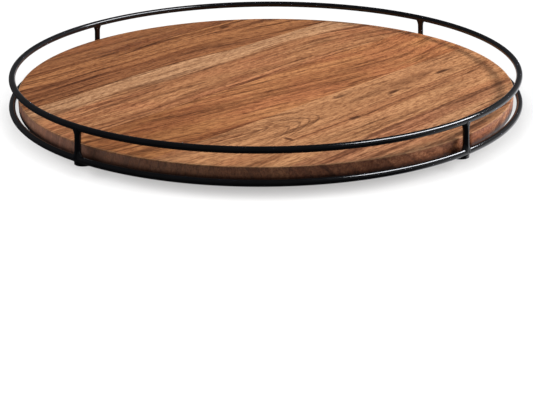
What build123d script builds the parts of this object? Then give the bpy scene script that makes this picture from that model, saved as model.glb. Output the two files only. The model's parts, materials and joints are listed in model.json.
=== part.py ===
from build123d import *
import math
import os

# Lazy susan turntable: a round board of glued wooden staves inside a two-ring wire rail,
# turning on a caged ball bearing over a smaller round base with rubber feet.
# Millimetres, +Z up, origin on the table under the turning axis.

# overall stack, from the table up
foot_exposed = 3.0
base_thickness = 12.0
bearing_height = 9.0
board_thickness = 13.6

base_bottom = foot_exposed
base_top = base_bottom + base_thickness
board_bottom = base_top + bearing_height

# board
board_radius = 220.2
board_edge_ease = 0.8
stave_angle = 47.4
# glue lines, as distances from the board's centre across the staves
glue_lines = [-161.0, -116.0, -72.0, 6.0, 93.0, 172.0]
over_cut = 1.0

# wire rail: the upper ring is a little smaller, so the posts lean inwards
rail_diameter = 457.2
wire_radius = 2.8
post_radius = 2.65
ring_spacing = 25.5
ring_taper = 1.8
low_ring_radius = rail_diameter / 2 - wire_radius
top_ring_radius = low_ring_radius - ring_taper
low_ring_z = board_bottom + wire_radius
top_ring_z = low_ring_z + ring_spacing
post_angles = [45.5, 138.75, 229.25, 314.25]
weld_radius = 3.5
weld_height = 1.3
weld_overlap = 1.4

# tabs under the lower ring and the board, one at each post
tab_width = 16.0
tab_thickness = 2.5
tab_inner = 186.0
tab_outer = 227.5
tab_hole_at = 200.0
tab_hole_radius = 2.2

# ring bearing: inner race under the board, outer race on the base, balls between
ball_radius = 2.0
ball_count = 36
ball_circle = 97.0
ball_z = base_top + bearing_height / 2
groove_radius = ball_radius + 0.3
race_gap = 1.8
race_width = 12.0
race_lift = 1.0
race_edge = 0.6
inner_race_outer = ball_circle - race_gap / 2
inner_race_inner = inner_race_outer - race_width
outer_race_inner = ball_circle + race_gap / 2
outer_race_outer = outer_race_inner + race_width
cage_wall = 1.0
cage_height = 5.4
pocket_radius = ball_radius + 0.1
pocket_length = 4.0

# base disc
base_radius = 130.0
base_edge_round = 2.0

# rubber feet, let into the base
foot_radius = 11.0
foot_recess = 2.0
foot_circle = 112.0
foot_edge_round = 1.0
foot_counterbore = 2.4

# screws: shank radius, head radius, head height, length under the head
board_screw = (1.75, 3.6, 2.2, 16.5)
tab_screw = (1.9, 3.8, 2.0, 10.5)
base_screw = (2.0, 3.9, 2.3, 18.5)
foot_screw = (1.6, 3.3, 1.6, 10.0)
recess_width = 0.9
# shares of the head's radius, of its height twice, and of the shank's radius
recess_length = 1.15
recess_depth = 0.6
head_round = 0.6
point_length = 0.55
# gaps round the shanks and heads, and the depth of the holes in the wood
pilot_gap = 0.06
pilot_depth = 9.0
clearance_gap = 0.3

# circles that the bearing's and the base's screws stand on
screw_offset = 0.5
board_screw_circle = (inner_race_inner + inner_race_outer) / 2 - screw_offset
base_screw_circle = (outer_race_inner + outer_race_outer) / 2 + screw_offset
bearing_screw_angle = stave_angle + 45.0
base_screw_turn = 30.0
screw_count = 4

os.makedirs("parts", exist_ok=True)


def polar(radius, angle):
    """A point on a circle about the turning axis."""
    a = math.radians(angle)
    return (radius * math.cos(a), radius * math.sin(a))


def quarter_points(radius, first):
    """Four points evenly round a circle."""
    return [polar(radius, first + 360.0 * i / screw_count) for i in range(screw_count)]


board_screw_points = quarter_points(board_screw_circle, bearing_screw_angle)
base_screw_points = quarter_points(base_screw_circle, bearing_screw_angle + base_screw_turn)
foot_points = quarter_points(foot_circle, bearing_screw_angle)
tab_screw_points = [polar(tab_hole_at, a) for a in post_angles]


def save(part, name):
    """Label a finished piece and write it."""
    part.label = name
    export_step(part, f"parts/{name}.step")


def circles(points, height, radius):
    """Flat circles round some points at one height, ready to be raised into pins or holes."""
    with BuildSketch(Plane.XY.offset(height)) as discs:
        with Locations(*points):
            Circle(radius)
    return discs.sketch


def sink_angle(head, shank, height):
    """The slope of a countersunk head, from its wide face to its shank."""
    return math.degrees(math.atan((head - shank) / height))


def make_stave(index):
    """One stave: the slice of the round board between two glue lines."""
    limits = [-board_radius - over_cut, *glue_lines, board_radius + over_cut]
    low, high = limits[index], limits[index + 1]
    with BuildPart() as stave:
        with BuildSketch(Plane.XY.offset(board_bottom)):
            Circle(board_radius)
            middle = polar((low + high) / 2, stave_angle + 90)
            with Locations(Location((*middle, 0), (0, 0, stave_angle))):
                Rectangle(2 * board_radius, high - low, mode=Mode.INTERSECT)
        extrude(amount=board_thickness)
        chamfer(stave.edges().filter_by(GeomType.CIRCLE), length=board_edge_ease)
        # pilot holes for the bearing's and the tabs' screws
        for points, size in ((board_screw_points, board_screw), (tab_screw_points, tab_screw)):
            holes = circles(points, board_bottom, size[0] + pilot_gap)
            extrude(holes, amount=pilot_depth, mode=Mode.SUBTRACT)
    save(stave.part, f"stave_{index + 1}")


def make_ring(name, radius, height):
    """One closed ring of round wire."""
    with BuildPart() as ring:
        with BuildSketch(Plane.XZ):
            with Locations((radius, height)):
                Circle(wire_radius)
        revolve(axis=Axis.Z)
    save(ring.part, name)
    return ring.part


def make_post(index, rings):
    """One upright post: round wire with a weld bead at each end, cut to sit on the rings."""
    angle = post_angles[index]
    foot = Vector(*polar(low_ring_radius, angle), low_ring_z)
    head = Vector(*polar(top_ring_radius, angle), top_ring_z)
    lean = (head - foot).normalized()
    length = (head - foot).length
    bead_start = wire_radius - weld_overlap
    bead_end = wire_radius + weld_height
    with BuildPart() as post:
        with BuildSketch(Plane(origin=foot, z_dir=lean)):
            Circle(post_radius)
        extrude(amount=length)
        # the two weld beads narrow towards the middle of the post
        for origin, direction in ((foot, lean), (head, lean * -1)):
            with BuildSketch(Plane(origin=origin + direction * bead_start, z_dir=direction)):
                Circle(weld_radius)
            with BuildSketch(Plane(origin=origin + direction * bead_end, z_dir=direction)):
                Circle(post_radius)
            loft()
        for ring in rings:
            add(ring, mode=Mode.SUBTRACT)
    # what the cut leaves beyond the rings' centres is dropped
    with BuildPart() as trimmed:
        add(post.part.solids().sort_by(SortBy.VOLUME)[-1])
    save(trimmed.part, f"rail_post_{index + 1}")


def make_tab(index):
    """One flat tab with round ends, under the lower ring and screwed up into the board."""
    angle = post_angles[index]
    middle = polar((tab_inner + tab_outer) / 2, angle)
    with BuildPart() as tab:
        with BuildSketch(Plane.XY.offset(board_bottom)):
            with Locations(Location((*middle, 0), (0, 0, angle))):
                SlotOverall(tab_outer - tab_inner, tab_width)
            with Locations(tab_screw_points[index]):
                Circle(tab_hole_radius, mode=Mode.SUBTRACT)
        extrude(amount=-tab_thickness)
    save(tab.part, f"rail_tab_{index + 1}")


def make_screws(name, points, seat, size, sunk):
    """A group of upward screws: sunk heads are flush with the seat, the others hang below it."""
    shank, head, height, length = size
    face = seat if sunk else seat - height
    with BuildPart() as screws:
        extrude(circles(points, seat, shank), amount=length)
        chamfer(screws.edges().group_by(Axis.Z)[-1], length=shank * point_length)
        if sunk:
            slope = sink_angle(head, shank, height)
            extrude(circles(points, seat, head), amount=height, taper=slope)
        else:
            extrude(circles(points, seat, head), amount=-height)
            fillet(screws.edges().group_by(Axis.Z)[0], radius=height * head_round)
        # cross recess
        with BuildSketch(Plane.XY.offset(face)):
            with Locations(*points):
                Rectangle(head * recess_length, recess_width)
                Rectangle(recess_width, head * recess_length)
        extrude(amount=height * recess_depth, mode=Mode.SUBTRACT)
    save(screws.part, name)


def make_race(name, inner, outer, bottom, points, hole, sunk):
    """One race ring of the bearing, with a round groove for the balls and four screw holes."""
    middle = ((inner + outer) / 2, bottom + (bearing_height - race_lift) / 2)
    shank, head, height = hole
    with BuildPart() as race:
        with BuildSketch(Plane.XZ) as section:
            with Locations(middle):
                Rectangle(outer - inner, bearing_height - race_lift)
            chamfer(section.vertices(), length=race_edge)
            with Locations((ball_circle, ball_z)):
                Circle(groove_radius, mode=Mode.SUBTRACT)
        revolve(axis=Axis.Z)
        extrude(circles(points, bottom, shank), amount=bearing_height, mode=Mode.SUBTRACT)
        if sunk:
            slope = sink_angle(head, shank, height)
            extrude(circles(points, bottom, head), amount=height, taper=slope, mode=Mode.SUBTRACT)
    save(race.part, name)


def make_cage():
    """The thin ring that keeps the balls apart, with one round pocket for each ball."""
    with BuildPart() as cage:
        with BuildSketch(Plane.XZ):
            with Locations((ball_circle, ball_z)):
                Rectangle(cage_wall, cage_height)
        revolve(axis=Axis.Z)
        with Locations((0, 0, ball_z)):
            with PolarLocations(ball_circle, ball_count):
                Cylinder(pocket_radius, pocket_length, rotation=(0, 90, 0), mode=Mode.SUBTRACT)
    save(cage.part, "ball_cage")


def make_balls():
    """The ring of steel balls."""
    with BuildPart() as balls:
        with Locations((0, 0, ball_z)):
            with PolarLocations(ball_circle, ball_count):
                Sphere(ball_radius)
    save(balls.part, "bearing_balls")


def make_base():
    """The round base, with countersunk holes for the bearing and recesses for the feet."""
    shank, head, height = base_screw[:3]
    with BuildPart() as base:
        with BuildSketch(Plane.XZ) as section:
            with Locations((0, base_bottom)):
                Rectangle(base_radius, base_thickness, align=(Align.MIN, Align.MIN))
            fillet(section.vertices().group_by(Axis.X)[-1], radius=base_edge_round)
        revolve(axis=Axis.Z)
        holes = circles(base_screw_points, base_bottom, shank + clearance_gap)
        extrude(holes, amount=base_thickness, mode=Mode.SUBTRACT)
        sinks = circles(base_screw_points, base_bottom, head + pilot_gap)
        slope = sink_angle(head, shank, height)
        extrude(sinks, amount=height, taper=slope, mode=Mode.SUBTRACT)
        recesses = circles(foot_points, base_bottom, foot_radius)
        extrude(recesses, amount=foot_recess, mode=Mode.SUBTRACT)
        pilots = circles(foot_points, base_bottom, foot_screw[0] + pilot_gap)
        extrude(pilots, amount=pilot_depth + foot_recess, mode=Mode.SUBTRACT)
    save(base.part, "base_disc")


def make_foot(index):
    """One rubber foot: a stepped disc with its screw head sunk well inside."""
    centre = [foot_points[index]]
    shank, head = foot_screw[:2]
    with BuildPart() as foot:
        extrude(circles(centre, 0, foot_radius), amount=foot_exposed + foot_recess)
        fillet(foot.edges().group_by(Axis.Z)[0], radius=foot_edge_round)
        well = circles(centre, 0, head + clearance_gap)
        extrude(well, amount=foot_counterbore, mode=Mode.SUBTRACT)
        hole = circles(centre, 0, shank + clearance_gap)
        extrude(hole, amount=foot_exposed + foot_recess, mode=Mode.SUBTRACT)
    save(foot.part, f"foot_{index + 1}")


for number in range(len(glue_lines) + 1):
    make_stave(number)

low_ring = make_ring("rail_bottom_ring", low_ring_radius, low_ring_z)
top_ring = make_ring("rail_top_ring", top_ring_radius, top_ring_z)
for number in range(len(post_angles)):
    make_post(number, (low_ring, top_ring))
    make_tab(number)
make_screws("rail_screws", tab_screw_points, board_bottom - tab_thickness, tab_screw, False)

make_race(
    "bearing_inner_race",
    inner_race_inner,
    inner_race_outer,
    base_top + race_lift,
    board_screw_points,
    (board_screw[0] + clearance_gap, board_screw[1] + pilot_gap, board_screw[2]),
    True,
)
make_race(
    "bearing_outer_race",
    outer_race_inner,
    outer_race_outer,
    base_top,
    base_screw_points,
    (base_screw[0] + pilot_gap, base_screw[1], base_screw[2]),
    False,
)
make_cage()
make_balls()
make_screws("board_screws", board_screw_points, base_top + race_lift, board_screw, True)

make_base()
make_screws("base_screws", base_screw_points, base_bottom, base_screw, True)
for number in range(screw_count):
    make_foot(number)
make_screws("foot_screws", foot_points, foot_counterbore, foot_screw, False)
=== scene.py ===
import json
import math

import bmesh
import bpy
import numpy as np
from mathutils import Matrix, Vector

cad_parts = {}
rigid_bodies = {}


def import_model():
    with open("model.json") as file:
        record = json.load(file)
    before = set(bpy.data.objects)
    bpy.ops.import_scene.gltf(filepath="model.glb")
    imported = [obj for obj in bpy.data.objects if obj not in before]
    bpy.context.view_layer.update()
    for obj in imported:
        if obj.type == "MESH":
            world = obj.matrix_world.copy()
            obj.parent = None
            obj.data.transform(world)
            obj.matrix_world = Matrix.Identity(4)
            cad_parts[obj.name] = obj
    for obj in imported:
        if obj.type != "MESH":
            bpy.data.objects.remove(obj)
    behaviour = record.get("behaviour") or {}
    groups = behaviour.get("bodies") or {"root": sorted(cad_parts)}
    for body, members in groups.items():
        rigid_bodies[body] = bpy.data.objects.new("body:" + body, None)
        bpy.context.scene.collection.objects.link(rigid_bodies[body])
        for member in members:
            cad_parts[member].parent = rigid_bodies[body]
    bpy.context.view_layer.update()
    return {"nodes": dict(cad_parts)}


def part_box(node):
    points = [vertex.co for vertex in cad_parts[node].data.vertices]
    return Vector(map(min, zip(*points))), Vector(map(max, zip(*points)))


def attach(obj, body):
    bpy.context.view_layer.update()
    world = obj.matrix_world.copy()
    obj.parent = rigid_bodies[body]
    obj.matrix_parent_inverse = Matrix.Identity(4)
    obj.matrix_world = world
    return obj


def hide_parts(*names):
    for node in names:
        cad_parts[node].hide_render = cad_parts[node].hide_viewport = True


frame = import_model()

print("frame loaded:", len(frame["nodes"]), "nodes")
mm = 0.001

camera = {
    "distance": 1.1728,  # from the middle of the lower ring
    "elevation": 17.526,
    "pitch": 22.58,
    "roll": -0.453,
    "lens": 87.24,
    "sensor": 36,
    "sideways": -0.19 * mm,
    "sees": 100,
}


def addCamera():
    low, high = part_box("rail_bottom_ring")
    ringHeight = (low.z + high.z) / 2
    rise = math.radians(camera["elevation"])
    data = bpy.data.cameras.new("mainCamera")
    data.lens = camera["lens"]
    data.sensor_width = camera["sensor"]
    data.clip_end = camera["sees"]
    away = camera["distance"] * math.cos(rise)
    up = camera["distance"] * math.sin(rise)
    place = Matrix.Translation((camera["sideways"], -away, ringHeight + up))
    tilt = Matrix.Rotation(math.pi / 2 - math.radians(camera["pitch"]), 4, "X")
    eye = bpy.data.objects.new("mainCamera", data)
    eye.matrix_world = place @ tilt @ Matrix.Rotation(math.radians(camera["roll"]), 4, "Z")
    bpy.context.scene.collection.objects.link(eye)
    bpy.context.scene.camera = eye


addCamera()
print("camera placed")

meshing = {
    "mergeWithin": 0.002 * mm,
    "flatWithin": 0.001 * mm,
}


def fullTurn(count):
    # evenly spaced angles, once round
    return np.linspace(0, 2 * math.pi, count, endpoint=False)


def addSurface(name, grid, material, closedAlong=False):
    # grid[along, around] holds points, and each row closes on itself. A ring closes along as well,
    # and any other surface gets a fan from each end row to that row's middle.
    along, around = grid.shape[:2]
    points = grid.reshape(-1, 3)
    i = np.arange(along if closedAlong else along - 1)[:, None]
    j = np.arange(around)
    nextI = (i + 1) % along
    nextJ = (j + 1) % around
    corners = [i * around + j, i * around + nextJ, nextI * around + nextJ, nextI * around + j]
    faces = np.stack(corners, -1).reshape(-1, 4).tolist()
    if not closedAlong:
        for row in (0, along - 1):
            middle = np.full(around, len(points))
            faces += np.stack([row * around + nextJ, row * around + j, middle], -1).tolist()
            points = np.vstack([points, grid[row].mean(0)])
    mesh = bpy.data.meshes.new(name)
    mesh.from_pydata(points.tolist(), [], faces)
    # doubled points at poles are merged, then every face is turned outwards
    work = bmesh.new()
    work.from_mesh(mesh)
    bmesh.ops.remove_doubles(work, verts=work.verts, dist=meshing["mergeWithin"])
    bmesh.ops.dissolve_degenerate(work, edges=work.edges, dist=meshing["flatWithin"])
    bmesh.ops.recalc_face_normals(work, faces=work.faces)
    work.to_mesh(mesh)
    work.free()
    mesh.shade_smooth()
    mesh.materials.append(material)
    piece = bpy.data.objects.new(name, mesh)
    bpy.context.scene.collection.objects.link(piece)
    return piece


class Shader:
    # one material's node tree, with a short call for each kind of node
    def __init__(self, name):
        self.material = bpy.data.materials.new(name)
        self.material.use_nodes = True
        self.tree = self.material.node_tree
        self.tree.nodes.clear()
        output = self.node("ShaderNodeOutputMaterial")
        self.surface = self.node("ShaderNodeBsdfPrincipled")
        self.feed(output.inputs["Surface"], self.surface.outputs["BSDF"])

    def node(self, kind, **settings):
        made = self.tree.nodes.new(kind)
        for key, value in settings.items():
            setattr(made, key, value)
        return made

    def feed(self, socket, value):
        if isinstance(value, bpy.types.NodeSocket):
            self.tree.links.new(value, socket)
        else:
            socket.default_value = value

    def finish(self, **values):
        for key, value in values.items():
            self.feed(self.surface.inputs[key.replace("_", " ")], value)
        return self.material

    def place(self, turn=0.0):
        # object coordinates in millimetres, turned about the upright axis
        mapped = self.node("ShaderNodeMapping")
        self.feed(mapped.inputs["Vector"], self.node("ShaderNodeTexCoord").outputs["Object"])
        mapped.inputs["Rotation"].default_value = (0, 0, -math.radians(turn))
        mapped.inputs["Scale"].default_value = (1 / mm, 1 / mm, 1 / mm)
        return mapped.outputs[0]

    def split(self, vector):
        made = self.node("ShaderNodeSeparateXYZ")
        self.feed(made.inputs[0], vector)
        return tuple(made.outputs)

    def join(self, x, y, z):
        made = self.node("ShaderNodeCombineXYZ")
        for socket, value in zip(made.inputs, (x, y, z)):
            self.feed(socket, value)
        return made.outputs[0]

    def sums(self, operation, a, b=0.0, c=0.0):
        made = self.node("ShaderNodeMath", operation=operation)
        for socket, value in zip(made.inputs, (a, b, c)):
            self.feed(socket, value)
        return made.outputs[0]

    def times(self, a, b):
        return self.sums("MULTIPLY", a, b)

    def plus(self, a, b):
        return self.sums("ADD", a, b)

    def scaled(self, value, factor, shift):
        return self.sums("MULTIPLY_ADD", value, factor, shift)

    def swing(self, noise, reach):
        # noise from 0 to 1 becomes a shift, half of reach either way
        return self.scaled(noise, reach, -reach / 2)

    def squares(self, a, b):
        return self.scaled(a, a, self.times(b, b))

    def most(self, a, b):
        return self.sums("MAXIMUM", a, b)

    def noise(self, vector, detail=2.0, rough=0.5, scale=1.0):
        made = self.node("ShaderNodeTexNoise")
        self.feed(made.inputs["Vector"], vector)
        made.inputs["Scale"].default_value = scale
        made.inputs["Detail"].default_value = detail
        made.inputs["Roughness"].default_value = rough
        return made.outputs[0]

    def lumps(self, where, sizes, detail, rough=0.5, shift=0.0):
        # noise whose lumps have these sizes along, across and down
        first = self.scaled(where[0], 1 / sizes[0], shift)
        second = self.times(where[1], 1 / sizes[1])
        third = self.times(where[2], 1 / sizes[2])
        return self.noise(self.join(first, second, third), detail, rough)

    def span(self, value, low, high, toLow=0.0, toHigh=1.0, soft=True):
        made = self.node("ShaderNodeMapRange", interpolation_type="SMOOTHSTEP" if soft else "LINEAR")
        for socket, v in zip(made.inputs, (value, low, high, toLow, toHigh)):
            self.feed(socket, v)
        return made.outputs[0]

    def blend(self, share, a, b, kind="MIX"):
        made = self.node("ShaderNodeMix", data_type="RGBA", blend_type=kind)
        self.feed(made.inputs[0], share)
        for socket, colour in ((made.inputs[6], a), (made.inputs[7], b)):
            self.feed(socket, (*colour, 1) if isinstance(colour, tuple) else colour)
        return made.outputs[2]

    def bump(self, height, distance, strength):
        made = self.node("ShaderNodeBump")
        made.inputs["Strength"].default_value = strength
        made.inputs["Distance"].default_value = distance
        self.feed(made.inputs["Height"], height)
        self.feed(self.surface.inputs["Normal"], made.outputs[0])


# lengths in the wood are millimetres: u along the staves, v across them, z up
grain = {
    "turn": 47.4,  # the staves' direction, degrees from +X
    "top": 37.6,
    "rim": 220.2,
    "ownShift": 37.0,  # keeps the noises of two staves apart
    # sizes of the lumps along, across and down
    "slow": (90, 32, 40),
    "quick": (32, 8, 9),
    "cloud": (75, 26, 70),
    "fibre": (36, 1.0, 0.8),
    "fleck": (7, 1.8, 2.0),
    "pore": (4.5, 0.8, 0.8),
    "quickSwing": 2.6,
    # growth marks: the gap between two, how much shorter than lineLength, and detail
    "lineLength": 300,
    "lineDepth": 70,
    "band": (13.0, 1.0, 1.0),
    "streak": (4.4, 1.25, 2.0),
    "line": (6.0, 1.35, 1.0),
    "lineHere": (4.8, 4.5, 1.0),
    # the noise values between which a mark sets in, or a line's distance from the middle value
    "bandRange": (0.38, 0.64),
    "streakRange": (0.48, 0.60),
    "lineRange": (0.015, 0.075),
    "lineHereRange": (0.36, 0.56),
    "fleckRange": (0.42, 0.66),
    "fibreRange": (0.34, 0.66),
    "poreRange": (0.55, 0.68),
    "cloudRange": (0.42, 0.66),
    "sapRange": (0.40, 0.70),
    # how strong the finest marks are, and how deep they are cut
    "lineByLining": (0.5, 0.4),  # times the lining, plus
    "fibreShare": 0.5,
    "poreShare": 0.5,
    "fibreHeight": 0.5,
    "poreDepth": 0.8,
    "lineDent": 0.25,
    "cut": 0.12 * mm,
    "cutStrength": 0.7,
    "roughness": (0.38, 0.50),
    "specular": 0.45,
}

# what each mark multiplies the wood's colour by
marks = {
    "dusk": (0.50, 0.43, 0.28),
    "streak": (0.62, 0.55, 0.50),
    "line": (0.34, 0.27, 0.23),
    "fleck": (0.58, 0.50, 0.45),
    "fibre": (0.62, 0.56, 0.52),
    "pore": (0.34, 0.26, 0.22),
    "vein": (0.26, 0.19, 0.16),
    "knot": (0.16, 0.10, 0.08),
    # lightens and reddens the rim: partly the end grain's own tone, partly painted light for the dimly lit
    # side
    "rim": (1.2, 1.04, 1.02),
    "rimDots": (0.72, 0.64, 0.60),
    # painted shade: darkens the rim's foot, where the lower ring shades it
    "rimFootShade": (0.16, 0.12, 0.11),
}

knot = {
    "ragged": 1.2,
    "push": 3.0,  # how far it moves the growth lines
    "pushRange": (0.0, 9.0),
    "darkRange": (0.2, 2.2),
}

vein = {
    "fadeOut": 10,
    "follow": 0.5,  # how much of the growth lines' wandering it shares
    "core": 0.2,  # the share of its thickness that is fully dark
}

archLine = {
    "sway": 1.6,
    "waveRange": (0.45, 0.98),
    "tipRange": (0.1, 0.5),
}

sapEdge = {
    "slowSwing": 4.0,
    "quickShift": 2.0,
    "lineOff": 1.0,  # how far the dark line lies outside the edge
    "lineRange": (0.2, 1.7),
    "lessLining": 0.45,
}

rimFinish = {
    # how far inside the rim and below the top each part of it sets in
    "sideInside": (0.5, 0.2),
    "sideBelowTop": (1.0, 0.6),
    "cornerInside": (1.3, 0.7),
    "cornerBelowTop": (0.9, 0.4),
    "footBelowTop": (11.5, 4.5),
    # end grain's tint, paler and greyer: partly its own tone, partly painted sheen
    "endGrainAndSheen": (0.42, 0.26, 0.20),
    "endGrainAndSheenShare": 0.55,
    "dotsPerMm": (0.5, 1.4, 0.35),
    "dotsRange": (0.42, 0.65),
    "footShadeShare": 0.97,
    # painted highlight along the rim's rounded top corner
    "corner": (0.66, 0.40, 0.22),
    "cornerHighlightShare": 0.2,
}


def riseOf(s, stave, u, v):
    # a growth line's rise along the stave is a rounded corner between two slopes: half their
    # difference times sqrt((u - at)^2 + width^2), plus their mean times u; it fades across
    left, right, at, width = stave["bend"]
    full, none = stave["fade"]
    half = (right - left) / 2
    away = s.sums("SUBTRACT", u, at)
    corner = s.sums("SQRT", s.scaled(away, away, width**2))
    corner = s.scaled(corner, half, -half * math.hypot(at, width))
    rise = s.scaled(u, (right + left) / 2, corner)
    return s.times(rise, s.span(v, full, none, 1.0, 0.0))


def ringsOf(s, stave, u, z, level):
    # distance from the pith, which runs along the stave beside it, at a depth that may change
    beside, depthFrom, depthTo, uFrom, uTo = stave["pith"]
    across = s.sums("SUBTRACT", level, beside)
    depth = s.span(u, uFrom, uTo, depthFrom, depthTo, soft=False)
    down = s.plus(depth, s.sums("SUBTRACT", z, grain["top"]))
    return s.sums("SQRT", s.squares(across, down))


def knotsOf(s, stave, u, v, quick, rings):
    # knots push the growth lines apart and are dark in the middle
    shade = 0.0
    for middleU, middleV, halfLength, halfWidth, strength in stave["knots"]:
        du = s.scaled(u, 1 / halfLength, -middleU / halfLength)
        dv = s.scaled(v, 1 / halfWidth, -middleV / halfWidth)
        near = s.plus(s.squares(du, dv), s.swing(quick, knot["ragged"]))
        rings = s.plus(rings, s.span(near, *knot["pushRange"], knot["push"], 0.0))
        shade = s.most(shade, s.span(near, *knot["darkRange"], strength, 0.0))
    return rings, shade


def veinsOf(s, stave, u, v, wander):
    # a few veins lie at chosen places, each a sloping line that fades out at both ends
    veins = 0.0
    fadeOut = vein["fadeOut"]
    for start, end, height, rise, thick, strength in stave["veins"]:
        place = s.scaled(u, rise, height - rise * (start + end) / 2)
        off = s.sums("ABSOLUTE", s.sums("SUBTRACT", s.scaled(wander, vein["follow"], v), place))
        line = s.span(off, thick * vein["core"], thick, strength, 0.0)
        left = s.span(u, start - fadeOut, start + fadeOut)
        right = s.span(u, end - fadeOut, end + fadeOut, 1.0, 0.0)
        veins = s.most(veins, s.times(line, s.times(left, right)))
    return veins


def archOf(s, arch, u, v, slow):
    # nested arches, open to the left: lines of equal dv^2 + (u - tip) / apart
    tipU, tipV, apart, halfWidth, count, strength = arch
    dv = s.scaled(v, 1 / halfWidth, -tipV / halfWidth)
    fold = s.scaled(dv, dv, s.scaled(u, 1 / apart, -tipU / apart))
    fold = s.plus(fold, s.swing(slow, archLine["sway"]))
    wave = s.span(s.sums("COSINE", s.times(fold, 2 * math.pi)), *archLine["waveRange"], 0.0, strength)
    innermost = s.span(fold, -count - 0.5, -count + 0.5)
    inside = s.times(innermost, s.span(fold, *archLine["tipRange"], 1.0, 0.0))
    return s.times(wave, inside)


def sapwoodOf(s, sap, u, v, slow, quick):
    # the sapwood's edge is a level with humps, bell curves of u, and a dark line follows it
    edge, side, lineStrength, softness, humps = sap
    wavy = s.scaled(slow, sapEdge["slowSwing"], edge - sapEdge["slowSwing"] / 2)
    wavy = s.scaled(quick, sapEdge["quickShift"], wavy)
    for rise, middle, reach in humps:
        du = s.scaled(u, 1 / reach, -middle / reach)
        bell = s.sums("EXPONENT", s.times(s.times(du, du), -1.0))
        wavy = s.plus(wavy, s.times(bell, rise))
    beyond = s.times(s.sums("SUBTRACT", v, wavy), side)
    offLine = s.sums("ABSOLUTE", s.plus(beyond, sapEdge["lineOff"]))
    borderLine = s.times(s.span(offLine, *sapEdge["lineRange"], 1.0, 0.0), lineStrength)
    return s.span(beyond, -softness, softness), borderLine


def rimOver(s, colour, u, v, z):
    # the rim is tinted lighter and redder, and its end grain paler, partly the wood's own tone and partly
    # painted light and painted sheen for the dimly lit side; its foot gets painted shade beside the lower
    # ring, and its top corner a painted highlight
    reach = s.sums("SQRT", s.squares(u, v))

    def inside(part):
        return s.span(reach, *[grain["rim"] - distance for distance in rimFinish[part + "Inside"]])

    def belowTop(part, toLow, toHigh):
        low, high = (grain["top"] - distance for distance in rimFinish[part + "BelowTop"])
        return s.span(z, low, high, toLow, toHigh)

    onRim = s.times(inside("side"), belowTop("side", 1.0, 0.0))
    ends = s.times(u, 1 / grain["rim"])
    endGrainAndSheen = s.times(s.times(ends, ends), onRim)
    where = s.join(*[s.times(a, scale) for a, scale in zip((u, v, z), rimFinish["dotsPerMm"])])
    dots = s.span(s.noise(where, 3.0, 0.65), *rimFinish["dotsRange"])
    # painted shade: the side darkens towards its foot, beside the lower ring
    foot = s.times(onRim, belowTop("foot", rimFinish["footShadeShare"], 0.0))
    # painted highlight: the rounded top corner is lightened, as if catching the light
    corner = s.times(inside("corner"), belowTop("corner", 0.0, 1.0))
    # partly painted light: the rim is lightened where the side gets little lamp light, and the end grain is
    # paled as painted sheen
    colour = s.blend(onRim, colour, marks["rim"], "MULTIPLY")
    colour = s.blend(s.times(endGrainAndSheen, rimFinish["endGrainAndSheenShare"]), colour, rimFinish["endGrainAndSheen"])
    colour = s.blend(s.times(onRim, dots), colour, marks["rimDots"], "MULTIPLY")
    colour = s.blend(foot, colour, marks["rimFootShade"], "MULTIPLY")
    return s.blend(s.times(corner, rimFinish["cornerHighlightShare"]), colour, rimFinish["corner"])


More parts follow.
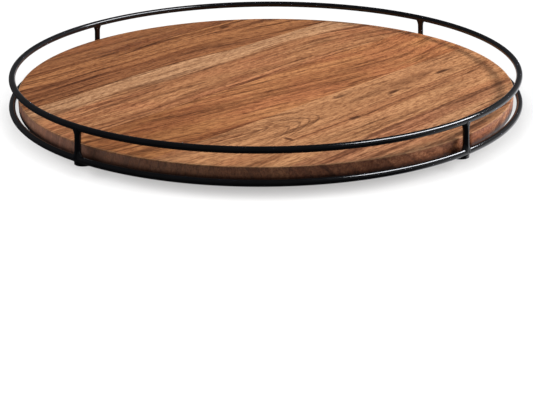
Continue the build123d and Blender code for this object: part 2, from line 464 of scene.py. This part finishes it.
def acacia(stave, number):
    s = Shader("acacia" + stave["name"].title().replace("_", ""))
    u, v, z = s.split(s.place(grain["turn"]))
    own = number * grain["ownShift"]

    # growth lines wander a little and follow the stave's bend
    slow = s.lumps((u, v, z), grain["slow"], 1.0, shift=own)
    quick = s.lumps((u, v, z), grain["quick"], 1.5, shift=own)
    wander = s.plus(s.swing(slow, 4 * stave["wander"]), s.swing(quick, grain["quickSwing"]))
    level = s.plus(s.sums("SUBTRACT", v, riseOf(s, stave, u, v)), wander)
    rings = ringsOf(s, stave, u, z, level)
    rings, knotShade = knotsOf(s, stave, u, v, quick, rings)

    # bands, streaks and lines are noises stretched along the rings
    alongLines = s.scaled(u, 1 / grain["lineLength"], own)
    inDepth = s.times(z, 1 / grain["lineDepth"])

    def ringNoise(gap, shorter, detail):
        return s.noise(s.join(s.times(rings, 1 / gap), s.times(alongLines, shorter), inDepth), detail)

    bands = ringNoise(*grain["band"])
    streaks = s.span(ringNoise(*grain["streak"]), *grain["streakRange"])
    # a fine line runs where its noise crosses the middle value, and is missing in places
    offMiddle = s.sums("ABSOLUTE", s.sums("SUBTRACT", ringNoise(*grain["line"]), 0.5))
    present = s.span(ringNoise(*grain["lineHere"]), *grain["lineHereRange"])
    lines = s.times(s.span(offMiddle, *grain["lineRange"], 1.0, 0.0), present)

    fibres = s.lumps((u, level, z), grain["fibre"], 3.0, 0.6)
    flecks = s.span(s.lumps((u, level, z), grain["fleck"], 2.0, 0.65), *grain["fleckRange"])
    pores = s.span(s.lumps((u, level, z), grain["pore"], 1.0), *grain["poreRange"])
    clouds = s.lumps((u, v, z), grain["cloud"], 2.0, shift=own)
    veins = veinsOf(s, stave, u, v, wander)
    if "arch" in stave:
        veins = s.most(veins, archOf(s, stave["arch"], u, v, slow))

    colour = s.blend(s.span(bands, *grain["bandRange"]), stave["light"], stave["dark"])
    colour = s.blend(s.span(clouds, *grain["cloudRange"], 0.0, stave["redness"]), colour, stave["red"])
    if "dusk" in stave:
        duskFrom, duskTo, strength = stave["dusk"]
        colour = s.blend(s.span(u, duskTo, duskFrom, strength, 0.0), colour, marks["dusk"], "MULTIPLY")
    sapShare = 0.0
    if "sap" in stave:
        sapShare, borderLine = sapwoodOf(s, stave["sap"], u, v, slow, quick)
        sapwood = s.blend(s.span(bands, *grain["sapRange"]), stave["sapLight"], stave["sapDark"])
        colour = s.blend(sapShare, colour, sapwood)
        veins = s.most(veins, borderLine)

    # sapwood is lined less than heartwood
    lining = s.scaled(sapShare, -sapEdge["lessLining"] * stave["lining"], stave["lining"])
    layers = [
        ("streak", s.times(streaks, lining)),
        ("line", s.times(lines, s.scaled(lining, *grain["lineByLining"]))),
        ("fleck", flecks),
        ("fibre", s.span(fibres, *grain["fibreRange"], 0.0, grain["fibreShare"])),
        ("pore", s.times(pores, grain["poreShare"])),
        ("vein", veins),
        ("knot", knotShade),
    ]
    for mark, share in layers:
        colour = s.blend(share, colour, marks[mark], "MULTIPLY")
    colour = rimOver(s, colour, u, v, z)

    dents = s.plus(s.times(pores, grain["poreDepth"]), s.times(lines, grain["lineDent"]))
    height = s.sums("SUBTRACT", s.times(fibres, grain["fibreHeight"]), dents)
    s.bump(height, grain["cut"], grain["cutStrength"])
    roughness = s.span(fibres, 0.3, 0.7, *grain["roughness"])
    return s.finish(Base_Color=colour, Roughness=roughness, Specular_IOR_Level=grain["specular"])


goldTip = {"light": (0.58, 0.300, 0.146), "dark": (0.45, 0.206, 0.098), "red": (0.50, 0.205, 0.100)}
goldEdge = {"light": (0.61, 0.307, 0.141), "dark": (0.48, 0.212, 0.091), "red": (0.52, 0.210, 0.096)}
goldPlain = {"light": (0.59, 0.290, 0.131), "dark": (0.48, 0.210, 0.090), "red": (0.50, 0.198, 0.088)}
heartRed = {"light": (0.60, 0.265, 0.104), "dark": (0.44, 0.172, 0.064), "red": (0.53, 0.197, 0.080)}
heartTan = {"light": (0.61, 0.291, 0.128), "dark": (0.47, 0.202, 0.086), "red": (0.55, 0.204, 0.091)}
brown = {"light": (0.49, 0.210, 0.080), "dark": (0.36, 0.143, 0.055), "red": (0.42, 0.150, 0.058)}
brownPlain = {"light": (0.42, 0.175, 0.068), "dark": (0.32, 0.124, 0.048), "red": (0.37, 0.130, 0.050)}
sapTones = {"sapLight": (0.67, 0.370, 0.190), "sapDark": (0.485, 0.240, 0.113)}
straight = (400, 500)  # past the board's edge, so the bend never fades

# bend: slope at the left, slope at the right, where it turns, over what width
# fade: the places across where the bend is full and where it has gone
# pith: beside, depth from and to, between which places along the stave
# wander: how far growth lines stray; lining: how strong streaks are; redness: how red the clouds are
# knots: along, across, half length, half width, strength
# veins: from, to, height in the middle, slope, thickness, strength
# dusk, where the wood deepens towards one end: from, to, strength
# arch: tip along, tip across, gap between arches, half width, how many, strength
# sap: edge, which side of it, border line, softness, and humps, each rise, middle and reach
staves = [
    {
        "name": "stave_1", "bend": (0.02, 0.03, 0, 60), "fade": straight, "pith": (-90, 50, 50, 0, 1),
        "wander": 1.6, "lining": 0.7, "redness": 0.6, "knots": [],
        "veins": [
            (-70, -15, -167, -0.04, 1.6, 0.6),
            (-5, 30, -190, 0.05, 1.8, 0.6),
            (60, 120, -186, 0.03, 1.4, 0.4),
        ],
        **goldTip,
    },
    {
        "name": "stave_2", "bend": (-0.02, 0.03, 40, 60), "fade": straight, "pith": (-40, 50, 50, 0, 1),
        "wander": 1.6, "lining": 0.6, "redness": 0.25,
        "knots": [(-30, -127, 6, 2.4, 0.8), (-105, -119, 1.8, 6, 0.85)],
        "veins": [
            (-110, -20, -125.5, -0.02, 1.4, 0.65),
            (-30, 110, -127, 0.02, 1.4, 0.7),
            (90, 210, -124, 0.0, 1.3, 0.5),
            (-45, -5, -145, -0.03, 1.6, 0.7),
        ],
        **goldEdge,
    },
    {
        "name": "stave_3", "bend": (-0.16, 0.01, -30, 30), "fade": straight, "pith": (-98, 2, 19, -125, -52),
        "wander": 1.2, "lining": 0.55, "redness": 0.1, "arch": (-46, -99, 13, 9.5, 4, 0.55),
        "knots": [(5, -81, 7, 2.6, 0.7), (47, -108, 7, 2.4, 0.8), (127, -104, 10, 2.2, 0.85)],
        "veins": [
            (-150, -95, -86, -0.16, 1.7, 0.7),
            (-112, -60, -109, 0.03, 1.2, 0.5),
            (-95, -55, -86, -0.45, 1.2, 0.5),
        ],
        **goldPlain,
    },
    {
        "name": "stave_4", "bend": (-0.20, 0.16, 125, 40), "fade": straight, "pith": (-190, 40, 40, 0, 1),
        "wander": 2.2, "lining": 0.65, "redness": 0.7, "dusk": (-55, -150, 0.48), "knots": [],
        "veins": [
            (-190, -60, 5, 0.0, 1.5, 0.55),
            (-65, 10, -1, -0.13, 1.9, 0.75),
            (5, 50, -7, -0.06, 1.4, 0.5),
            (60, 200, -33, 0.0, 1.8, 0.3),
        ],
        **heartRed,
    },
    {
        "name": "stave_5", "bend": (0.02, -0.26, 145, 40), "fade": (45, 100), "pith": (-80, 45, 45, 0, 1),
        "wander": 2.4, "lining": 0.8, "redness": 0.45, "knots": [],
        "veins": [
            (-200, -125, 50, -0.01, 1.6, 0.6),
            (20, 135, 43, 0.04, 1.3, 0.4),
            (130, 205, 37, -0.24, 1.3, 0.5),
        ],
        "sap": (65, 1, 0.3, 6.0, [(8, -105, 30), (7, 100, 42), (-9, 210, 40)]),
        **heartTan,
        **sapTones,
    },
    {
        "name": "stave_6", "bend": (0.03, -0.20, 50, 45), "fade": (108, 160), "pith": (10, 40, 40, 0, 1),
        "wander": 2.0, "lining": 1.0, "redness": 0.2, "knots": [(108, 157, 5, 3.0, 0.8)],
        "veins": [
            (-170, -80, 155, -0.03, 1.8, 0.75),
            (-45, 65, 165, 0.14, 1.8, 0.6),
            (-120, 20, 118, 0.04, 1.3, 0.5),
        ],
        "sap": (89.5, -1, 0.7, 1.5, [(9, -40, 110), (-9, 80, 30)]),
        **brown,
        **sapTones,
    },
    {
        "name": "stave_7", "bend": (0.0, 0.0, 0, 60), "fade": straight, "pith": (80, 50, 50, 0, 1),
        "wander": 2.5, "lining": 0.4, "redness": 0.5, "knots": [], "veins": [],
        **brownPlain,
    },
]

board = {
    "radius": 220.2 * mm,
    "glueLines": [-161, -116, -72, 6, 93, 172],  # in millimetres across the staves
    "topRound": 0.9 * mm,
    "bottomRound": 0.8 * mm,
    "glueEase": 0.14 * mm,  # how far a stave's corners are eased at a glue line
    "support": 0.5 * mm,  # a row this far inside keeps each corner crisp
    "facePoints": 40,
    "cornerPoints": 7,
    "rimRows": 40,
    "middleRows": 24,
}


def rowsAcross(lowLine, highLine, loopRing):
    # rows across a stave, closer beside a glue line, and closing to a point at the board's rim;
    # gives where each row lies, and how far its corners are eased
    ease = board["glueEase"]
    near = np.array([0, ease, ease + board["support"]])[:, None]
    rimRows = (np.linspace(0, 1, board["rimRows"]) ** 2)[:, None]
    start = -loopRing if lowLine is None else np.full(len(loopRing), lowLine)
    width = (loopRing if highLine is None else highLine) - start
    inner = near[2] / width
    if lowLine is None:
        share = np.vstack([rimRows[:-1] * (1 - inner), 1 - near[::-1] / width])
    elif highLine is None:
        share = np.vstack([near / width, (1 - rimRows[::-1][1:]) * (1 - inner) + inner])
    else:
        wide = highLine - lowLine
        middle = np.linspace(near[2], wide - near[2], board["middleRows"])
        share = np.vstack([near[:2], middle, wide - near[:2][::-1]]) / width
    easing = np.zeros((len(share), 1))
    easing[0] = 0 if lowLine is None else ease
    easing[-1] = 0 if highLine is None else ease
    return start + share * width, easing


def addStave(index):
    # a stave is a loop round its cross-section carried across it from one glue line to the next;
    # at v across, the loop is cut to half the board's chord, sqrt(radius^2 - v^2), on each side
    stave = staves[index]
    low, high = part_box(stave["name"])
    bottom, top = low.z, high.z
    # the rim's section from the top face round the side to the bottom face: how far out, how high
    quarter = np.linspace(0, math.pi / 2, board["cornerPoints"])
    r, q = board["topRound"], board["bottomRound"]
    ring = board["radius"] - np.r_[r - r * np.sin(quarter), q - q * np.cos(quarter)]
    height = np.r_[top - r + r * np.cos(quarter), bottom + q - q * np.sin(quarter)]
    # one loop: top face, rim on one side, bottom face, rim on the other side
    face = np.linspace(-1, 1, board["facePoints"])
    flat = np.ones(len(face))
    side = np.ones(len(ring))
    loopRing = np.r_[flat * ring[0], ring, flat * ring[-1], ring[::-1]]
    loopHeight = np.r_[flat * top, height, flat * bottom, height[::-1]]
    loopShare = np.r_[face, side, -face, -side]
    onFace = np.r_[flat, 0 * side, flat, 0 * side] == 1
    limits = [None, *[line * mm for line in board["glueLines"]], None]
    v, easing = rowsAcross(limits[index], limits[index + 1], loopRing)
    half = np.sqrt(np.maximum((loopRing - easing) ** 2 - v**2, 0))
    u = loopShare * np.where(onFace, np.maximum(half - board["support"], 0), half)
    z = np.clip(loopHeight, bottom + easing, top - easing)
    turn = math.radians(grain["turn"])
    x = u * math.cos(turn) - v * math.sin(turn)
    y = u * math.sin(turn) + v * math.cos(turn)
    piece = addSurface("board_" + stave["name"], np.stack([x, y, z], -1), acacia(stave, index + 1))
    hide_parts(stave["name"])
    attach(piece, "turntable")


for index in range(len(staves)):
    addStave(index)
print("board made")

rail = {
    "wire": 2.8 * mm,
    "post": 2.65 * mm,
    "postAngles": [45.5, 138.75, 229.25, 314.25],
    "weldReach": 1.7 * mm,  # how far a weld runs along the ring
    "weldRise": 2.2 * mm,
    "weldSkin": 0.12 * mm,
    "weldSink": 0.15 * mm,  # how far a post's ends lie under the rings' surfaces
    "weldPower": 1.5,
    "weldLumps": {3: 0.16, 7: 0.09},  # waves round the bar, and how high they are
    "lumpTurn": 2.1,  # radians from one post's lumps to the next one's
    "lumpTurnAbove": 1.3,
    "ringPoints": 720,
    "wirePoints": 32,
    "postPoints": 40,
    "postRows": 60,
}

steelPaint = {
    "black": (0.0012, 0.0012, 0.0019),
    "worn": (0.0030, 0.0030, 0.0042),
    "roughness": (0.10, 0.16),
    "peel": 0.5,  # lumps per millimetre
    "grit": 3.0,
    "wear": 0.05,
}


def blackSteelMaterial():
    s = Shader("blackSteel")
    where = s.place()
    peel = s.noise(where, 1.0, 0.5, steelPaint["peel"])
    grit = s.noise(where, 2.0, 0.6, steelPaint["grit"])
    wear = s.span(s.noise(where, 3.0, 0.6, steelPaint["wear"]), 0.35, 0.7)
    s.bump(s.scaled(peel, 0.75, s.times(grit, 0.25)), 0.03 * mm, 0.25)
    colour = s.blend(wear, steelPaint["black"], steelPaint["worn"])
    return s.finish(Base_Color=colour, Roughness=s.span(grit, 0.3, 0.7, *steelPaint["roughness"]))


def ringOf(node):
    # the ring's radius and height, read from its CAD node
    low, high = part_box(node)
    return (high.x - low.x) / 2 - rail["wire"], (low.z + high.z) / 2


def addRing(node, material):
    # a torus: a circle of the wire's radius carried round the ring
    radius, height = ringOf(node)
    along = fullTurn(rail["ringPoints"])[:, None]
    around = fullTurn(rail["wirePoints"])[None, :]
    reach = radius + rail["wire"] * np.cos(around)
    z = height + rail["wire"] * np.sin(around) + 0 * along
    grid = np.stack([reach * np.cos(along), reach * np.sin(along), z], -1)
    piece = addSurface(node.replace("rail_", "wire_"), grid, material, closedAlong=True)
    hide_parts(node)
    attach(piece, "turntable")


def addPost(index, material):
    # a round bar whose radius swells where it meets a ring, more along the ring than across it,
    # by the weld's reach times exp(-(rise / weldRise)^1.5), with lumps that are sines round the bar
    lowRadius, lowHeight = ringOf("rail_bottom_ring")
    topRadius, topHeight = ringOf("rail_top_ring")
    angle = math.radians(rail["postAngles"][index])
    around = fullTurn(rail["postPoints"])[None, :]
    share = (0.5 - 0.5 * np.cos(np.linspace(0, math.pi, rail["postRows"])))[:, None]
    span = topHeight - lowHeight
    clear = span - 2 * rail["wire"]

    def weld(rise, phase):
        lumps = 1
        for turn, (waves, high) in enumerate(rail["weldLumps"].items(), 1):
            lumps = lumps + high * np.sin(waves * around + turn * phase)
        swell = np.exp(-((rise / rail["weldRise"]) ** rail["weldPower"]))
        sideways = np.abs(np.sin(around)) ** rail["weldPower"]
        return rail["weldReach"] * swell * lumps * sideways + rail["weldSkin"] * swell

    rise = share * clear
    phase = index * rail["lumpTurn"]
    radius = rail["post"] + weld(rise, phase) + weld(clear - rise, phase + rail["lumpTurnAbove"])
    out = radius * np.cos(around)
    along = radius * np.sin(around)
    saddle = np.sqrt(np.maximum(rail["wire"] ** 2 - out**2, 0)) - rail["weldSink"]
    z = lowHeight + saddle + share * (span - 2 * saddle)
    reach = lowRadius + (topRadius - lowRadius) * (z - lowHeight) / span + out
    x = reach * math.cos(angle) - along * math.sin(angle)
    y = reach * math.sin(angle) + along * math.cos(angle)
    node = f"rail_post_{index + 1}"
    piece = addSurface(f"wire_post_{index + 1}", np.stack([x, y, z], -1), material)
    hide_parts(node)
    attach(piece, "turntable")


blackSteel = blackSteelMaterial()
for node in ("rail_top_ring", "rail_bottom_ring"):
    addRing(node, blackSteel)
for index in range(len(rail["postAngles"])):
    addPost(index, blackSteel)
print("rail made")

# two colours, lowest and highest roughness, turning marks per millimetre
metals = {
    "blackScrew": ((0.02, 0.02, 0.021), (0.035, 0.034, 0.033), (0.3, 0.42), 3.0),
    "aluminium": ((0.70, 0.71, 0.72), (0.58, 0.59, 0.60), (0.26, 0.42), 2.5),
    "ballSteel": ((0.62, 0.62, 0.64), (0.5, 0.5, 0.52), (0.08, 0.14), 1.0),
    "zinc": ((0.62, 0.60, 0.55), (0.46, 0.45, 0.43), (0.3, 0.45), 3.0),
}

# two colours, lowest and highest roughness, specks per millimetre
plastics = {
    "nylon": ((0.74, 0.72, 0.66), (0.62, 0.60, 0.55), (0.39, 0.51), 1.5),
    "rubber": ((0.018, 0.018, 0.019), (0.032, 0.031, 0.031), (0.64, 0.76), 1.2),
}

baseWood = {
    "turn": 12.0,  # degrees from +X
    "sway": 14.0,
    "light": (0.40, 0.20, 0.095),
    "dark": (0.25, 0.112, 0.050),
    "pore": (0.5, 0.42, 0.38),
    "roughness": (0.45, 0.58),
}


def metalMaterial(name):
    # marks run in circles round the upright axis, as turning leaves them
    light, dark, roughness, perMm = metals[name]
    s = Shader(name)
    where = s.place()
    x, y, z = s.split(where)
    reach = s.sums("SQRT", s.squares(x, y))
    turned = s.noise(s.join(s.times(reach, perMm), s.times(z, perMm), 0.0), 3.0, 0.6)
    stains = s.span(s.noise(where, 3.0, 0.55, 0.08), 0.35, 0.7)
    s.bump(turned, 0.03 * mm, 0.4)
    rough = s.span(turned, 0.3, 0.7, *roughness)
    return s.finish(Base_Color=s.blend(stains, light, dark), Roughness=rough, Metallic=1.0)


def plasticMaterial(name):
    light, dark, roughness, perMm = plastics[name]
    s = Shader(name)
    speck = s.noise(s.place(), 3.0, 0.6, perMm)
    s.bump(speck, 0.06 * mm, 0.5)
    colour = s.blend(s.span(speck, 0.35, 0.68), light, dark)
    return s.finish(Base_Color=colour, Roughness=s.span(speck, 0.3, 0.7, *roughness))


def baseWoodMaterial():
    # plain straight grain across the disc, darker in long soft streaks
    s = Shader("baseWood")
    x, y, z = s.split(s.place(baseWood["turn"]))
    level = s.scaled(s.lumps((x, y, 0.0), (80, 30, 1), 2.0), baseWood["sway"], y)
    streaks = s.lumps((x, level, z), (160, 7, 9), 3.0)
    pores = s.lumps((x, level, z), (9, 0.7, 1), 2.0, 0.6)
    colour = s.blend(s.span(streaks, 0.38, 0.62), baseWood["light"], baseWood["dark"])
    colour = s.blend(s.span(pores, 0.5, 0.7, 0.0, 0.7), colour, baseWood["pore"], "MULTIPLY")
    s.bump(pores, 0.08 * mm, 0.5)
    return s.finish(Base_Color=colour, Roughness=s.span(pores, 0.3, 0.7, *baseWood["roughness"]))


# these parts keep their CAD shapes
smallParts = {
    "rail_tab_1 rail_tab_2 rail_tab_3 rail_tab_4": blackSteel,
    "rail_screws": metalMaterial("blackScrew"),
    "bearing_inner_race bearing_outer_race": metalMaterial("aluminium"),
    "ball_cage": plasticMaterial("nylon"),
    "bearing_balls": metalMaterial("ballSteel"),
    "board_screws base_screws foot_screws": metalMaterial("zinc"),
    "foot_1 foot_2 foot_3 foot_4": plasticMaterial("rubber"),
    "base_disc": baseWoodMaterial(),
}
for names, material in smallParts.items():
    for name in names.split():
        mesh = frame["nodes"][name].data
        mesh.materials.clear()
        mesh.materials.append(material)
print("small parts finished")

studioFloor = {
    "glow": 0.40,
    "tone": 0.30,
    # a flat disc that curves up into a wall far away: metres out, metres up
    "reach": [0.01, 0.5, 1.0, 2.0, 4.0, 7.0, 8.5, 9.5, 10.2, 10.6, 10.8],
    "rise": [0, 0, 0, 0, 0, 0, 0.2, 0.8, 1.8, 3.2, 6.0],
    "points": 96,
}


def addFloor():
    # the profile of reach and rise, carried once round
    s = Shader("paleFloor")
    tone = studioFloor["tone"]
    s.finish(Base_Color=(tone, tone, tone, 1), Roughness=1.0, Specular_IOR_Level=0.0)
    s.finish(Emission_Color=(1, 1, 1, 1), Emission_Strength=studioFloor["glow"])
    turn = fullTurn(studioFloor["points"])
    reach = np.array(studioFloor["reach"])[:, None]
    rise = np.array(studioFloor["rise"])[:, None]
    points = np.stack([reach * np.cos(turn), reach * np.sin(turn), rise + 0 * turn], -1)
    floor = addSurface("floor", points, s.material)
    floor.visible_diffuse = False
    floor.visible_glossy = False
    floor.visible_shadow = False
    return floor


# azimuth and elevation in degrees, power in watts (a sun's in watts per square metre), size in
# metres (a sun's in degrees), and what the lamp shines on
lamps = {
    "floorSunLeft": {"from": (-107, 29), "power": 6.8, "sun": 20, "on": "floor"},
    "floorSunRight": {"from": (-73, 29), "power": 6.8, "sun": 20, "on": "floor"},
    "overhead": {"from": (-90, 80), "power": 17.5, "size": (1.6, 1.2), "on": "object"},
    "rightSoft": {"from": (6, 38), "power": 28, "size": (0.45, 0.28), "on": "object"},
    "leftSoft": {
        "from": (165, 14), "power": 21, "size": (0.8, 0.5), "on": "object", "colour": (0.91, 0.94, 1.0),
    },
    "rightStrip": {
        "from": (0, 50), "power": 56, "size": (1.5, 0.45), "on": "metal", "colour": (0.93, 0.95, 1.0),
        "roll": -34,
    },
    "rightLow": {
        "from": (16, 11), "power": 24, "size": (0.3, 0.22), "on": "object", "colour": (0.88, 0.93, 1.0),
    },
    "frontSoft": {"from": (-80, 7), "power": 2.2, "size": (0.8, 0.4), "on": "object"},
}
lampRig = {
    "distance": 1.8,
    "metalPieces": ("wire_", "rail_tab", "rail_screws", "bearing", "foot_screws"),
}


def addLamp(name, lamp, lit):
    # the lamp faces the middle of the object; lit says which pieces it shines on or leaves out
    data = bpy.data.lights.new(name, "SUN" if "sun" in lamp else "AREA")
    data.energy = lamp["power"]
    data.color = lamp.get("colour", (1, 1, 1))
    if "sun" in lamp:
        data.angle = math.radians(lamp["sun"])
    else:
        data.shape = "RECTANGLE"
        data.size, data.size_y = lamp["size"]
    thing = bpy.data.objects.new(name, data)
    a, e = (math.radians(angle) for angle in lamp["from"])
    across = lampRig["distance"] * math.cos(e)
    up = lampRig["distance"] * math.sin(e)
    place = Matrix.Translation((across * math.cos(a), across * math.sin(a), up))
    facing = Matrix.Rotation(a + math.pi / 2, 4, "Z") @ Matrix.Rotation(math.pi / 2 - e, 4, "X")
    thing.matrix_world = place @ facing @ Matrix.Rotation(math.radians(lamp.get("roll", 0)), 4, "Z")
    # soft lamps show in no gloss, and the metal's own lamp shows only in gloss
    thing.visible_glossy = lamp["on"] != "object"
    thing.visible_diffuse = lamp["on"] != "metal"
    state, pieces = lit[lamp["on"]]
    receivers = bpy.data.collections.new(name + "Lights")
    for index, piece in enumerate(pieces):
        receivers.objects.link(piece)
        receivers.collection_objects[index].light_linking.link_state = state
    thing.light_linking.receiver_collection = receivers
    bpy.context.scene.collection.objects.link(thing)


floor = addFloor()
metal = [piece for piece in bpy.data.objects if piece.name.startswith(lampRig["metalPieces"])]
lit = {
    "floor": ("INCLUDE", [floor]),
    "object": ("EXCLUDE", [floor]),
    "metal": ("INCLUDE", metal),
}
for name, lamp in lamps.items():
    addLamp(name, lamp, lit)

# above, the studio is dim and a little paler at the right; below, it is pale at the back right
surroundings = {
    "colour": (0.96, 0.97, 1, 1),
    "above": {"azimuth": 5, "between": (0.25, 0.95), "dim": 0.10, "pale": 0.36},
    "below": {"azimuth": 42, "between": (0.35, 0.85), "dim": 0.04, "pale": 1.1},
}


def addWorld():
    world = bpy.data.worlds.new("studio")
    world.use_nodes = True
    bpy.context.scene.world = world
    tree = world.node_tree
    background = tree.nodes["Background"]
    direction = tree.nodes.new("ShaderNodeTexCoord").outputs["Generated"]

    def towards(azimuth, elevation, between, dim, pale):
        # how far a ray points a given way, the dot product of the two, eased between two values
        dot = tree.nodes.new("ShaderNodeVectorMath")
        dot.operation = "DOT_PRODUCT"
        a, e = math.radians(azimuth), math.radians(elevation)
        dot.inputs[1].default_value = (math.cos(a) * math.cos(e), math.sin(a) * math.cos(e), math.sin(e))
        tree.links.new(direction, dot.inputs[0])
        eased = tree.nodes.new("ShaderNodeMapRange")
        eased.interpolation_type = "SMOOTHSTEP"
        tree.links.new(dot.outputs["Value"], eased.inputs[0])
        for socket, value in zip(eased.inputs[1:5], (*between, dim, pale)):
            socket.default_value = value
        return eased.outputs[0]

    above, below = surroundings["above"], surroundings["below"]
    glow = tree.nodes.new("ShaderNodeMix")
    tree.links.new(towards(0, -90, (0.0, 0.12), 0.0, 1.0), glow.inputs[0])
    for socket, half in ((glow.inputs[2], above), (glow.inputs[3], below)):
        tree.links.new(towards(half["azimuth"], 0, half["between"], half["dim"], half["pale"]), socket)
    tree.links.new(glow.outputs[0], background.inputs["Strength"])
    background.inputs["Color"].default_value = surroundings["colour"]


addWorld()
bpy.context.scene.view_settings.view_transform = "Standard"
print("studio lit")
